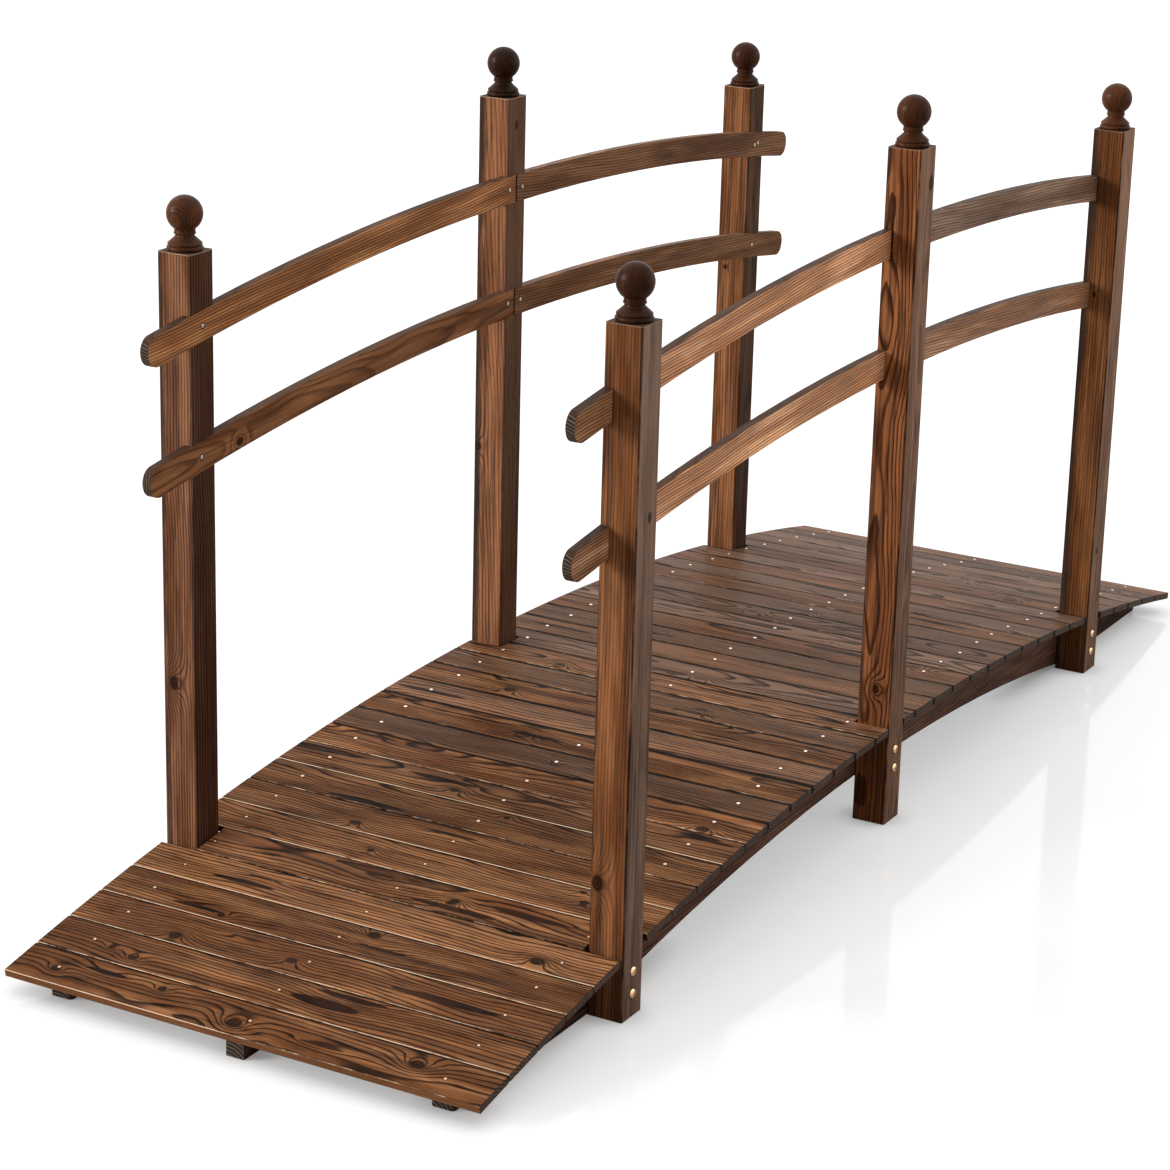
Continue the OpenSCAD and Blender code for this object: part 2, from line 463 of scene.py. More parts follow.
# Knots of the front boards, in layers of one knot a board, with their places across and along and radii
FIRST_KNOTS = {
    1: (13.0, -10.0, 8.0),
    2: (204.0, -12.0, 5.0),
    3: (23.0, -4.0, 6.0),
    4: (160.0, -20.0, 4.0),
    6: (-82.0, -6.0, 5.0),
    7: (79.0, -2.0, 4.0),
}
SECOND_KNOTS = {
    1: (-227.0, 8.0, 8.0),
    7: (-229.0, 1.0, 5.0),
}
THIRD_KNOTS = {
    1: (131.0, 11.5, 4.0),
}

# Dark lenses of late wood in the front boards: place across and along, and half length
LENSES = {
    1: (215.0, 14.0, 34.0),
    2: (-64.0, 1.0, 52.0),
    3: (-190.0, -2.0, 80.0),
    4: (-62.0, -4.0, 40.0),
    5: (180.0, -8.0, 50.0),
    6: (-190.0, 6.0, 60.0),
}

# Half widths of the same lenses
LENS_WIDTHS = {1: 4.0, 2: 9.5, 3: 7.0, 4: 3.5, 5: 5.0, 6: 6.0}


def on_board(g, board, number):
    """1 on the board with this number from the front end, and 0 on the others."""
    return g.math("COMPARE", board, float(number - 1 - HALF_BOARDS), 0.1)


def board_mark(g, board, marks):
    """The three numbers of the mark that a board has, or of one far off."""
    found = NO_KNOT
    for number, mark in marks.items():
        found = g.choose(on_board(g, board, number), found, mark)
    return g.split(found)


def deck_knots(g, board, y, across, dice):
    """A knot at random on each board, and those of the front boards: each one's field and radius."""
    knot_y, knot_u, knot_size = dice
    size = 3.0 + knot_size * 5.0
    field = knot_field(g, y, across, (knot_y - 0.5) * MARKS_Y, (knot_u - 0.5) * KNOTS_U, size)
    knots = [(*field, size)]
    for marks in (FIRST_KNOTS, SECOND_KNOTS, THIRD_KNOTS):
        at_y, at_u, radius = board_mark(g, board, marks)
        field = knot_field(g, y, across, at_y, at_u, radius)
        knots.append((*field, radius))
    return knots


def deck_lenses(g, board, y, across):
    """A lens at random on each board, and those of the front boards."""
    lens_y, lens_u, lens_size = g.dice(board + LENS_DICE)
    half_length = 25.0 + lens_size * 45.0
    half_width = 2.0 + lens_size * 4.5
    at_y = (lens_y - 0.5) * MARKS_Y
    at_u = (lens_u - 0.5) * LENSES_U
    at_random = lens_field(g, y, across, at_y, at_u, half_length, half_width)
    at_y, at_u, half_length = board_mark(g, board, LENSES)
    half_width = 1.0
    for number, width in LENS_WIDTHS.items():
        half_width = half_width + on_board(g, board, number) * (width - 1.0)
    return at_random, lens_field(g, y, across, at_y, at_u, half_length, half_width)


def deck_wood():
    """Boards across the bridge, each cut from its own log, with knots."""
    g = Graph("deck_wood")
    x, y, z = g.place()

    # Board at a point, counted from the bridge's middle, and the place within it
    drop = z - bow_z * 1000.0
    turn = g.math("ARCTAN2", x, drop) * (BOW_R / BOARD_PITCH)
    board = g.math("FLOOR", turn)
    across = (turn - board - 0.5) * (BOARD_PITCH * 1000.0)
    depth = g.math("SQRT", x * x + drop * drop) - BOW_R * 1000.0
    place = (y, across, depth)
    first = 1.0 - g.step(board, 0.4 - HALF_BOARDS, 0.6 - HALF_BOARDS)
    seed, pith, tilt = g.dice(board + CUT_DICE)
    knot_dice = g.dice(board + KNOT_DICE)
    light, most_worn_and_lit, grey = g.dice(board + WEAR_DICE)

    # Knots and lenses, which push the rings aside
    knots = deck_knots(g, board, y, across, knot_dice)
    bulge = 0.0
    for wide, tight, radii, radius in knots:
        bulge = bulge + wide * (radius * 1.6) + tight * (radius * 1.2)
    lens = 0.0
    for near, inside in deck_lenses(g, board, y, across):
        bulge = bulge + near * 7.0
        lens = g.math("MAXIMUM", lens, inside)

    # Rings, whose pith lies deeper and to one side on the first board, so that they form arches
    pith_across = (pith - 0.5) * 120.0 * (1.0 - first) - first * 34.0
    pith_depth = -18.0 - tilt * 30.0 - first * 24.0
    lean = (knot_dice[1] - 0.5) * 0.07
    ring = 3.4 + light * 1.9
    late, vary = fir_rings(g, place, seed, pith_across, pith_depth, lean, ring, bulge)
    late = g.math("MAXIMUM", late, lens)
    marks = [(tight, radii) for wide, tight, radii, radius in knots]
    body, fibre = finish_wood(g, place, seed, late, vary, DECK_LOOK, knots=marks)

    # Grey film, which differs from board to board, and thickens towards the rear as a painted sheen
    behind = g.step(x, *GREY_AND_SHEEN_BEGINS)
    # Where the painted sheen of the far deck sets in
    rear = g.step(x, *REAR_SHEEN_BEGINS)
    drift = g.noise(y / 150.0, across / 5.0, board * 7.7, detail=3.0)
    film_and_sheen_grain = 1.30 - late * 0.95 + fibre * 1.4 + drift * 2.0
    film_and_sheen = g.scaled(g.mix(rear, GREY_FILM_AND_SHEEN, FAR_FILM_AND_SHEEN), film_and_sheen_grain)
    body = g.mix(g.step(grey, 0.25, 0.8) * (0.08 + behind * 0.34) + rear * 0.36, body, film_and_sheen)
    body = g.scaled(body, 0.74 + light * 0.50)
    shade = 0.94 - g.step(x, *RAMP_DARKENS) * 0.20 + g.step(x, *SPAN_LIGHTENS) * 0.40
    body = g.scaled(body, shade)

    # Sawn ends, the first board's front edge, and the sides of the gaps, painted near black as painted
    # shade
    nx, ny, nz = g.normal()
    body = g.mix(g.step(abs(ny), *FACING) * 0.85, body, end_grain(g, late, fibre))
    body = g.mix(g.step(nx * -1.0, *FACING_SOFT) * first * 0.6, body, FRONT_EDGE)
    # Painted shade: the sides of the gaps painted near black
    body = g.mix(g.step(abs(nx), *FACING_SOFT) * (1.0 - first) * 0.9, body, CHAR)

    # Painted shade: a dark line along each board's rear edge, by the gap behind it, wider towards the
    # rear
    half = BOARD_W * 500.0
    rear_edge_shade = g.step(across, half - 3.2 - behind * 3.4, half - 1.0 - behind * 2.4)
    body = g.mix(rear_edge_shade * (0.45 + behind * 0.55), body, CHAR)

    # Broken pale line along each board's front edge, partly where the stain has worn off and partly a
    # painted highlight where the edge catches the light
    patchy = g.noise(y / 34.0, board * 3.1, 0.0, detail=5.0, roughness=0.7)
    first_worn_and_lit = first * (0.2 - g.step(y, -40.0, 120.0) * 0.4)
    wear_and_highlight = patchy + most_worn_and_lit * 0.30 - behind * (0.50 - most_worn_and_lit * 0.25) - first_worn_and_lit
    broken = g.step(wear_and_highlight, -0.08, 0.2)
    ahead = across * -1.0
    front_line = g.step(ahead, half - 1.1, half - 0.6) * (1.0 - g.step(ahead, half - 0.25, half))
    line_colour = g.mix(broken, WORN_AND_HIGHLIGHT_BROWN, WORN_AND_HIGHLIGHT)
    body = g.mix(g.step(depth, -2.0, -0.6) * front_line * broken, body, line_colour)
    g.put(g.shader.inputs["Base Color"], body)
    return g.material


def piece_wood(g, place, seed, look):
    """Wood of a piece that is cut from its log as its notes say."""
    along, across, depth = place
    pith_across, pith_depth, lean = g.own("wood_pith")
    ring, strength, wild = g.own("wood_rings")
    knot_along, knot_across, knot_size = g.own("wood_knot")
    wide, tight, radii = knot_field(g, along, across, knot_along, knot_across, knot_size)
    bulge = wide * (knot_size * 1.8) + tight * knot_size
    late, vary = fir_rings(g, place, seed, pith_across, pith_depth, lean, ring, bulge, wild)
    body, fibre = finish_wood(g, place, seed, late, vary, look, strength, [(tight, radii)])
    return body, late, fibre


def post_faces(g, body, place, seed, late, fibre, edge):
    """A post's right face with painted shade and reflection, dark left edge, ends and worn corners with
    a painted highlight, this far from its middle line.
    """
    z, across, depth = place
    nx, ny, nz = g.normal()
    top, top_worn, arris_dark = g.own("wood_top")
    flank_width, flank_dark, side_lines = g.own("wood_flank")

    # Face towards the right, in its colour of painted light, lighter upwards as painted shade that
    # darkens its lower part, with streaks, clouds and a knot of its own
    side = g.step(ny * -1.0, *FACING_SOFT)
    side_streak = g.noise(z / 300.0, depth / 3.5, seed * 19.0, detail=3.0)
    side_cloud = g.noise(z / 90.0, depth / 14.0, seed * 29.0, detail=3.0, roughness=0.6)
    # Painted shade: the side face is darker low down and lighter towards the top
    lift = 0.72 + g.step(z, 250.0, top) * 0.55 + side_lines * 0.6
    shade = (lift + side_streak * 1.8 + side_cloud * 1.5 + fibre * 0.5) * (1.0 - late * side_lines)
    # The side colour is painted light: shade on the left posts' inner faces, a pale reflection on the
    # right posts' outer faces
    body = g.mix(side * 0.78, body, g.scaled(g.own_colour("wood_side_and_light"), shade))
    side_z, side_x, side_size = g.own("wood_side_knot")
    side_radii = knot_field(g, z, depth, side_z, side_x, side_size)[2]
    body = g.mix(side * (1.0 - g.step(side_radii, 0.7, 1.1)) * 0.8, body, KNOT)

    # Sawn top and foot
    sawn = g.step(abs(nz), *FACING)
    body = g.mix(sawn * 0.7, body, end_grain(g, late, fibre))

    # Scorched corners, and the band along the edge towards the left
    corner = g.math("MINIMUM", abs(across), abs(depth))
    patchy = g.noise(z / 60.0, seed * 5.0, across / 30.0, detail=3.0)
    scorched = g.step(corner, edge - 2.4, edge - 1.2) * g.step(patchy, -0.12, 0.02)
    body = g.mix(scorched * arris_dark, body, CHAR)
    band = g.step(across + patchy * 18.0, edge - flank_width, edge - flank_width * 0.4)
    body = g.mix(band * (1.0 - side) * flank_dark, body, FLANK)

    # Corners and the top's rim, where the stain has worn off, with a painted highlight along the corners
    worn_and_lit = g.step(corner, edge - 1.6, edge - 0.4) * g.step(patchy, -0.02, 0.2) * 0.35
    worn_and_lit = worn_and_lit * (1.0 - arris_dark)
    rim = g.step(z, top - 1.4, top - 0.5) * (1.0 - sawn) * top_worn
    worn_and_lit = g.math("MAXIMUM", worn_and_lit, rim * g.step(patchy, -0.3, 0.0))
    return g.mix(worn_and_lit, body, WORN_AND_HIGHLIGHT)


def upright_wood(name, look, edge=0.0):
    """Wood whose grain runs up, for finials, and for posts, which have edges."""
    g = Graph(name)
    x, y, z = g.place()
    cx, cy, seed = g.own("wood_centre")
    place = (z, y - cy, x - cx)
    body, late, fibre = piece_wood(g, place, seed, look)
    body = g.tint(body, g.own_colour("wood_tone"))
    if edge:
        body = post_faces(g, body, place, seed, late, fibre, edge)
    g.put(g.shader.inputs["Base Color"], body)
    return g.material


def lengthwise_wood(name, look, joined=False):
    """Wood whose grain runs along the bridge, for beams, and for rails, which are joined at x = 0."""
    g = Graph(name)
    x, y, z = g.place()
    slope, cy, seed = g.own("wood_centre")
    place = (x + z * slope, z - x * slope, y - cy)
    body, late, fibre = piece_wood(g, place, seed, look)
    nx, ny, nz = g.normal()
    # On the rails the face towards the right takes the tone with painted light, and the other faces
    # BACK_TONE
    tone = g.own_colour("wood_tone")
    if joined:
        tone = g.mix(g.step(ny * -1.0, 0.3, 0.7), BACK_TONE, tone)
    body = g.tint(body, tone)

    # Darker noses on the right, and ends with pale lines between the rings
    nose = g.step(abs(x), 750.0, 790.0) * g.step(y * -1.0, 200.0, 210.0)
    body = g.scaled(body, 1.0 - nose * 0.55)
    end_colour = g.mix(g.step(late, 0.7, 1.0) * 0.6, RAIL_END, RAIL_END_LINE)
    body = g.mix(g.step(abs(nx), 0.5, 0.8) * 0.92, body, g.scaled(end_colour, 1.0 + fibre))

    # Tops of the rails, pale with a painted reflection on the left rear one and dark on the others, and
    # the joint at the middle
    if joined:
        top = g.step(nz, *FACING)
        sheen_top = g.step(y, -10.0, 10.0) * g.step(x, -60.0, 60.0)
        body = g.mix(top * (1.0 - sheen_top) * 0.8, body, g.scaled(DARK_TOP, 1.0 + fibre))
        body = g.mix(top * sheen_top * 0.35, body, TOP_SHEEN)
        body = g.mix((1.0 - g.step(abs(x), 1.2, 3.0)) * 0.9, body, CHAR)
    g.put(g.shader.inputs["Base Color"], body)
    return g.material


# Marks on the fasteners, and the stretch from the front end over which a metal takes its paler rear
# colour, a painted reflection
MARK_SIZE = 0.9
METAL_RELIEF = 0.02 * MM
REAR_METAL_SHEEN_BEGINS = (-560.0, -250.0)


def metal(name, colour, roughness, front_colour=None):
    """Bright metal with fine marks, and a colour of its own near the bridge's front end; where that is
    given, the paler colour further back is a painted reflection.
    """
    g = Graph(name)
    x, y, z = g.place()
    marks = g.noise(x / MARK_SIZE, y / MARK_SIZE, z / MARK_SIZE, detail=3.0)
    if front_colour:
        colour = g.mix(g.step(x, *REAR_METAL_SHEEN_BEGINS), front_colour, colour)
    g.put(g.shader.inputs["Base Color"], g.scaled(colour, 1.0 + marks * 0.35))
    g.put(g.shader.inputs["Roughness"], roughness + marks * 0.25)
    g.shader.inputs["Metallic"].default_value = 1.0
    g.bump(marks, METAL_RELIEF)
    return g.material


def paint(piece, material):
    """Gives a CAD node or a new piece its material."""
    if not piece.material_slots:
        piece.data.materials.append(material)
    for slot in piece.material_slots:
        slot.link = "OBJECT"
        slot.material = material


PLAIN = (1.0, 1.0, 1.0)

# Each post's wood, in millimetres. Names in it are explained below.
# pith: its place across and along the bridge, and how much the log leans
# knot: its height, its place across the front face and its radius
# rings: their width, their darkness and how much they sway
# tone, side: the tone of the wood, and the colour of the face towards the right, which is painted shade
# on the left posts and painted reflection on the right posts
# side_knot: its height, its place along the bridge and its radius
# flank: width and darkness of the band at the left edge, then darkness of the side's ring lines
POSTS = {
    ("right", "front"): {
        "pith": (150.0, 30.0, 0.010),
        "knot": (172.0, 14.0, 8.0),
        "rings": (4.2, 0.45, 0.45),
        "tone": (0.98, 0.94, 0.90),
        "side": BROWN_SIDE_WITH_SHEEN,
        "side_knot": (621.0, 6.0, 5.0),
        "flank": (3.0, 0.5, 0.2),
    },
    ("right", "middle"): {
        "pith": (13.0, 10.0, 0.0),
        "knot": (194.0, -1.0, 5.0),
        "rings": (3.4, 0.9, 1.1),
        "tone": (1.14, 0.98, 0.88),
        "side": (0.215, 0.122, 0.081),
        "side_knot": (886.0, 12.0, 8.0),
        "flank": (5.0, 0.5, 0.3),
    },
    ("right", "rear"): {
        "pith": (90.0, 36.0, 0.020),
        "knot": (600.0, 4.0, 3.0),
        "rings": (3.8, 0.55, 0.5),
        "tone": (0.98, 0.93, 0.82),
        "side": (0.270, 0.150, 0.094),
        "side_knot": (196.0, -6.0, 4.0),
        "flank": (14.0, 0.75, 0.2),
    },
    ("left", "front"): {
        "pith": (90.0, -90.0, 0.012),
        "knot": (300.0, 8.0, 7.0),
        "rings": (3.3, 0.75, 0.5),
        "tone": (1.08, 1.14, 1.42),
        "side": DARK_SHADED_SIDE,
        "side_knot": NO_KNOT,
        "flank": (8.0, 0.6, 0.85),
    },
    ("left", "middle"): {
        "pith": (70.0, -60.0, 0.060),
        "knot": (434.0, 18.0, 5.0),
        "rings": (4.4, 0.50, 0.7),
        "tone": (1.20, 1.22, 1.34),
        "side": (0.104, 0.056, 0.036),
        "side_knot": (896.0, -2.0, 5.0),
        "flank": (14.0, 0.8, 0.15),
    },
    ("left", "rear"): {
        "pith": (120.0, 26.0, 0.015),
        "knot": (560.0, 10.0, 3.0),
        "rings": (4.4, 0.55, 0.5),
        "tone": (1.15, 1.15, 1.15),
        "side": (0.055, 0.032, 0.021),
        "side_knot": NO_KNOT,
        "flank": (6.0, 0.4, 0.3),
    },
}
POST_HALF = 24.0

# How worn the rim of a post's top is, and how dark its corners are
RIM_WORN = {"left": 0.4, "right": 0.2}
CORNERS_DARK = {"left": 0.15, "right": 0.8}

# Tones of the rails' right faces, which carry painted light from the right on top of the wood's tone,
# and of the finials
RAIL_TONES_AND_LIGHT = {
    "rail_upper_left_front": (2.35, 2.35, 2.20),
    "rail_upper_left_rear": (1.10, 1.15, 1.30),
    "rail_lower_left_front": (1.22, 1.16, 1.10),
    "rail_lower_left_rear": (1.15, 1.22, 1.25),
    "rail_upper_right_front": (4.00, 4.60, 5.40),
    "rail_upper_right_rear": (1.40, 1.90, 2.90),
    "rail_lower_right_front": (3.80, 4.40, 5.20),
    "rail_lower_right_rear": (2.20, 2.70, 3.50),
}
FINIAL_TONES = {
    "finial_left_front": (1.8, 1.65, 1.2),
    "finial_left_middle": (0.62, 0.58, 0.42),
    "finial_left_rear": (1.1, 0.95, 0.7),
    "finial_right_front": (0.68, 0.55, 0.34),
    "finial_right_middle": (1.4, 1.2, 0.8),
    "finial_right_rear": (1.9, 1.6, 1.1),
}

# The rail that shows a knot, where it sits along the bridge, and the finial that shows its rings
KNOTTY_RAIL = "rail_lower_left_front"
RAIL_KNOT_X = -618.0
RINGED_FINIAL = "finial_left_front"

# Eased edges of the rails
EASE = 1.2 * MM
EASE_ANGLE = math.radians(50)

random.seed(7)
deck = deck_wood()
post_wood = upright_wood("post_wood", POST_LOOK, edge=POST_HALF)
finial_wood = upright_wood("finial_wood", BALL_LOOK)
rail_wood = lengthwise_wood("rail_wood", RAIL_LOOK, joined=True)
beam_wood = lengthwise_wood("beam_wood", BEAM_LOOK)


def cut_from(node, centre, pith, rings, knot=NO_KNOT, tone=PLAIN, side=PLAIN):
    """Notes on a node how it was cut from its log, for its material to read."""
    node["wood_centre"] = centre
    node["wood_pith"] = pith
    node["wood_rings"] = rings
    node["wood_knot"] = knot
    node["wood_tone"] = tone
    node["wood_side_and_light"] = side


def cut_post(node, key, centre, top, seed):
    """Notes on a post how it was cut and finished."""
    wood = POSTS[key]
    place = (centre.x, centre.y, seed)
    cut_from(node, place, wood["pith"], wood["rings"], wood["knot"], wood["tone"], wood["side"])
    node["wood_top"] = (top, RIM_WORN[key[0]], CORNERS_DARK[key[0]])
    node["wood_side_knot"] = wood["side_knot"]
    node["wood_flank"] = wood["flank"]


def cut_finial(node, name, centre, seed):
    """Notes on a finial how it was cut from its log."""
    if name == RINGED_FINIAL:
        pith = (-14.0, 0.0, 0.30)
        rings = (3.0, 1.0, 0.2)
    else:
        pith = (30.0 + 30.0 * seed, 24.0, 0.02)
        rings = (4.0, 0.45, 0.5)
    cut_from(node, (centre.x, centre.y, seed), pith, rings, tone=FINIAL_TONES[name])


def cut_rail(node, name, centre, reach, seed):
    """Notes on a rail how it was cut. Its grain follows the line between its two ends."""
    rise = RAIL_BOW_R - math.sqrt(RAIL_BOW_R ** 2 - reach ** 2)
    slope = rise / reach * (1 if "front" in name else -1)
    middle = centre.z - centre.x * slope
    pith = (middle - 60.0 - 40.0 * seed, 15.0, 0.006)
    knot = NO_KNOT
    rings = (3.8, 0.95, 0.6) if "front" in name else (4.0, 0.75, 0.6)
    if name == KNOTTY_RAIL:
        pith = (middle + 4.0, 46.0, -0.030)
        knot = (RAIL_KNOT_X, middle, 5.5)
        rings = (4.0, 0.6, 0.6)
    cut_from(node, (slope, centre.y, seed), pith, rings, knot, RAIL_TONES_AND_LIGHT[name])


def ease_edges(node):
    """Rounds a rail's edges a little."""
    bevel = node.modifiers.new("eased_edges", "BEVEL")
    bevel.width = EASE
    bevel.segments = 2
    bevel.limit_method = "ANGLE"
    bevel.angle_limit = EASE_ANGLE


for name, node in nodes.items():
    kind = name.split("_")[0]
    seed = random.random()
    low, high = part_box(name)
    centre = (low + high) * 500.0
    if kind == "deck":
        paint(node, deck)
    if kind == "post":
        side, place = name.split("_")[1:]
        cut_post(node, (side, place), centre, high.z * 1000.0, seed)
        paint(node, post_wood)
    if kind == "finial":
        cut_finial(node, name, centre, seed)
        paint(node, finial_wood)
    if kind == "rail":
        cut_rail(node, name, centre, max(abs(low.x), abs(high.x)), seed)
        ease_edges(node)
        paint(node, rail_wood)
    if kind == "beam":
        pith = (centre.z - 90.0, 40.0 * seed, 0.0)
        cut_from(node, (0.0, centre.y, seed), pith, rings=(5.0, 0.6, 0.4))
        paint(node, beam_wood)


def turned(outline, segments):
    """Corners and faces of a turned form. A point of the outline is its radius, its height, and True
    where the ring is a hexagon of that inner radius."""
    corners = []
    faces = []
    for radius, height, hexagon in outline:
        for i in range(segments):
            a = 2 * math.pi * i / segments
            reach = radius / math.cos((a % (math.pi / 3)) - math.pi / 6) if hexagon else radius
            corners.append(Vector((reach * math.cos(a), reach * math.sin(a), height)))
    for k in range(len(outline) - 1):
        low = k * segments
        high = low + segments
        for i in range(segments):
            j = (i + 1) % segments
            faces.append((low + i, low + j, high + j, high + i))
    last = (len(outline) - 1) * segments
    faces.append(tuple(reversed(range(segments))))
    faces.append(tuple(last + i for i in range(segments)))
    return corners, faces


def place_copies(name, form, matrices, material):
    """One piece that holds a copy of a form at each place."""
    corners, faces = form
    all_corners = []
    all_faces = []
    for matrix in matrices:
        start = len(all_corners)
        all_corners += [matrix @ corner for corner in corners]
        all_faces += [tuple(start + i for i in face) for face in faces]
    mesh = bpy.data.meshes.new(name)
    mesh.from_pydata(all_corners, [], all_faces)
    mesh.polygons.foreach_set("use_smooth", [True] * len(mesh.polygons))
    mesh.set_sharp_from_angle(angle=math.radians(35))
    piece = bpy.data.objects.new(name, mesh)
    bpy.context.scene.collection.objects.link(piece)
    paint(piece, material)
    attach(piece, "root")


def facing(point, direction, spin=0.0):
    """Where a form's own Z axis points in this direction from this point."""
    turn = Vector(direction).to_track_quat("Z", "Y").to_matrix().to_4x4()
    return Matrix.Translation(point) @ turn @ Matrix.Rotation(spin, 4, "Z")


brass = metal("bolt_metal", (0.83, 0.58, 0.33), 0.22)
# Nails and beam-end screws: coppery at the front and paler further back, where the paler colour is a
# painted reflection
bright_steel = metal("nail_metal", (0.95, 0.80, 0.68), 0.38, front_colour=(0.66, 0.44, 0.28))
dull_steel = metal("screw_metal", (0.52, 0.42, 0.34), 0.42)
# Dark rings round heads: painted shadow of the recesses they sit in
recess_shadow_metal = metal("painted_recess_shadow", (0.07, 0.04, 0.028), 0.6)

# Bolts: a domed head with a hexagon socket on the post over a dark ring of painted shadow, a washer and
# nut behind the side beam
BOLT_R = 6.2 * MM
BOLT_H = 2.6 * MM
SHADOW_RIM_R = 7.4 * MM
SHADOW_RIM_H = 0.5 * MM
SOCKET_R = 2.6 * MM
WASHER_R = 8.0 * MM
WASHER_H = 1.2 * MM
NUT_R = 5.0 * MM
NUT_TOP = 5.2 * MM
SHANK_R = 3.0 * MM
BOLT_HEAD = (
    (BOLT_R, 0.0, False),
    (BOLT_R, 0.5 * MM, False),
    (BOLT_R * 0.94, BOLT_H * 0.55, False),
    (BOLT_R * 0.78, BOLT_H * 0.85, False),
    (BOLT_R * 0.55, BOLT_H, False),
    (SOCKET_R, BOLT_H, True),
    (SOCKET_R * 0.97, 0.6 * MM, True),
)
BOLT_SHADOW_RIM = (
    (SHADOW_RIM_R, 0.0, False),
    (SHADOW_RIM_R, SHADOW_RIM_H * 0.6, False),
    (SHADOW_RIM_R * 0.9, SHADOW_RIM_H, False),
)
NUT = (
    (WASHER_R, 0.0, False),
    (WASHER_R, WASHER_H, False),
    (NUT_R, WASHER_H, True),
    (NUT_R, NUT_TOP, True),
    (SHANK_R, 5.8 * MM, False),
    (SHANK_R, 9.0 * MM, False),
)
BOLT_SEGMENTS = 24
END_BOLTS_Z = (0.059, 0.030)
MIDDLE_BOLTS_Z = (0.104, 0.077)
for side, sign in SIDES.items():
    heads = []
    nuts = []
    for place in PLACES:
        x = post_centre[side, place].x
        for z in (MIDDLE_BOLTS_Z if place == "middle" else END_BOLTS_Z):
            heads.append(facing((x, sign * post_out_y, z), (0, sign, 0), random.uniform(0, 1)))
            if place == "middle":
                nuts.append(facing((x, sign * beam_in_y, z), (0, -sign, 0), random.uniform(0, 1)))
    place_copies(f"bolt_shadow_rims_{side}", turned(BOLT_SHADOW_RIM, BOLT_SEGMENTS), heads, recess_shadow_metal)
    place_copies(f"bolts_{side}", turned(BOLT_HEAD, BOLT_SEGMENTS), heads, brass)
    place_copies(f"nuts_{side}", turned(NUT, BOLT_SEGMENTS), nuts, brass)

# Nails: three rows, one nail in each board over each beam, with larger heads behind the front boards,
# each in a dark ring of painted shadow
NAIL_R = 1.9 * MM
NAIL_SHADOW_RIM_R = 3.0 * MM
NAIL_HEAD = (
    (NAIL_R, -0.4 * MM, False),
    (NAIL_R, 0.15 * MM, False),
    (NAIL_R * 0.8, 0.45 * MM, False),
    (NAIL_R * 0.4, 0.6 * MM, False),
)
NAIL_SHADOW_RIM = (
    (NAIL_SHADOW_RIM_R, -0.3 * MM, False),
    (NAIL_SHADOW_RIM_R, 0.08 * MM, False),
    (NAIL_SHADOW_RIM_R * 0.9, 0.12 * MM, False),
)
NAIL_SEGMENTS = 12
NAIL_ROW_Y = {"left": 0.272, "centre": 0.0, "right": -0.272}
SMALL_NAILED_BOARDS = 8
LARGER_NAIL = 1.35
for row, y in NAIL_ROW_Y.items():
    spots = []
    for i in range(-HALF_BOARDS, HALF_BOARDS):
        angle = (i + 0.5) * BOARD_PITCH / BOW_R + random.uniform(-4, 4) * MM / BOW_R
        up = Vector((math.sin(angle), 0, math.cos(angle)))
        spot = Vector((0, y + random.uniform(-3, 3) * MM, bow_z)) + up * BOW_R
        growth = 1.0 if i < SMALL_NAILED_BOARDS - HALF_BOARDS else LARGER_NAIL
        spots.append(facing(spot, up) @ Matrix.Scale(growth, 4))
    place_copies(f"nail_shadow_rims_{row}", turned(NAIL_SHADOW_RIM, NAIL_SEGMENTS), spots, recess_shadow_metal)
    place_copies(f"nails_{row}", turned(NAIL_HEAD, NAIL_SEGMENTS), spots, bright_steel)

# Screws that hold the rails to the posts, beside the joint at the middle and at the end posts, each in a
# dark ring of painted shadow
SCREW_R = 2.8 * MM
SCREW_HEAD = (
    (SCREW_R, -0.5 * MM, False),
    (SCREW_R, 0.2 * MM, False),
    (SCREW_R * 0.75, 0.5 * MM, False),
    (SCREW_R * 0.4, 0.5 * MM, False),
    (SCREW_R * 0.25, -0.3 * MM, False),
)
SCREW_SHADOW_RIM = (
    (SCREW_R * 1.6, -0.4 * MM, False),
    (SCREW_R * 1.6, 0.08 * MM, False),
    (SCREW_R * 1.4, 0.12 * MM, False),
)
SCREW_SEGMENTS = 16
JOINT_SCREW_X = 17 * MM
TWICE_SCREWED = "rail_upper_left_rear"
SECOND_SCREW_X = 11 * MM
SECOND_SCREW_Z = 2 * MM


def rail_height(name, x):
    """Height of a rail's middle line at a place along the bridge."""
    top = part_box(name)[1].z
    return top - RAIL_BOW_R + math.sqrt(RAIL_BOW_R ** 2 - x * x) - RAIL_H / 2


def rail_screw(name, sign, x, lift):
    """Where a screw's head lies on a rail's post, towards the walkway."""
    return facing((x, sign * post_in_y, rail_height(name, x) + lift), (0, -sign, 0))


for side, sign in SIDES.items():
    spots = []
    for level in ("upper", "lower"):
        for half in ("front", "rear"):
            name = f"rail_{level}_{side}_{half}"
            joint_x = JOINT_SCREW_X * (-1 if half == "front" else 1)
            end_x = post_centre[side, half].x + random.uniform(-4, 6) * MM
            for x in (joint_x, end_x):
                spots.append(rail_screw(name, sign, x, random.uniform(-2, 2) * MM))
            if name == TWICE_SCREWED:
                spots.append(rail_screw(name, sign, end_x + SECOND_SCREW_X, SECOND_SCREW_Z))
    shadow_rims = turned(SCREW_SHADOW_RIM, SCREW_SEGMENTS)
    place_copies(f"rail_screw_shadow_rims_{side}", shadow_rims, spots, recess_shadow_metal)
    heads = turned(SCREW_HEAD, SCREW_SEGMENTS)
    place_copies(f"rail_screws_{side}", heads, spots, dull_steel)

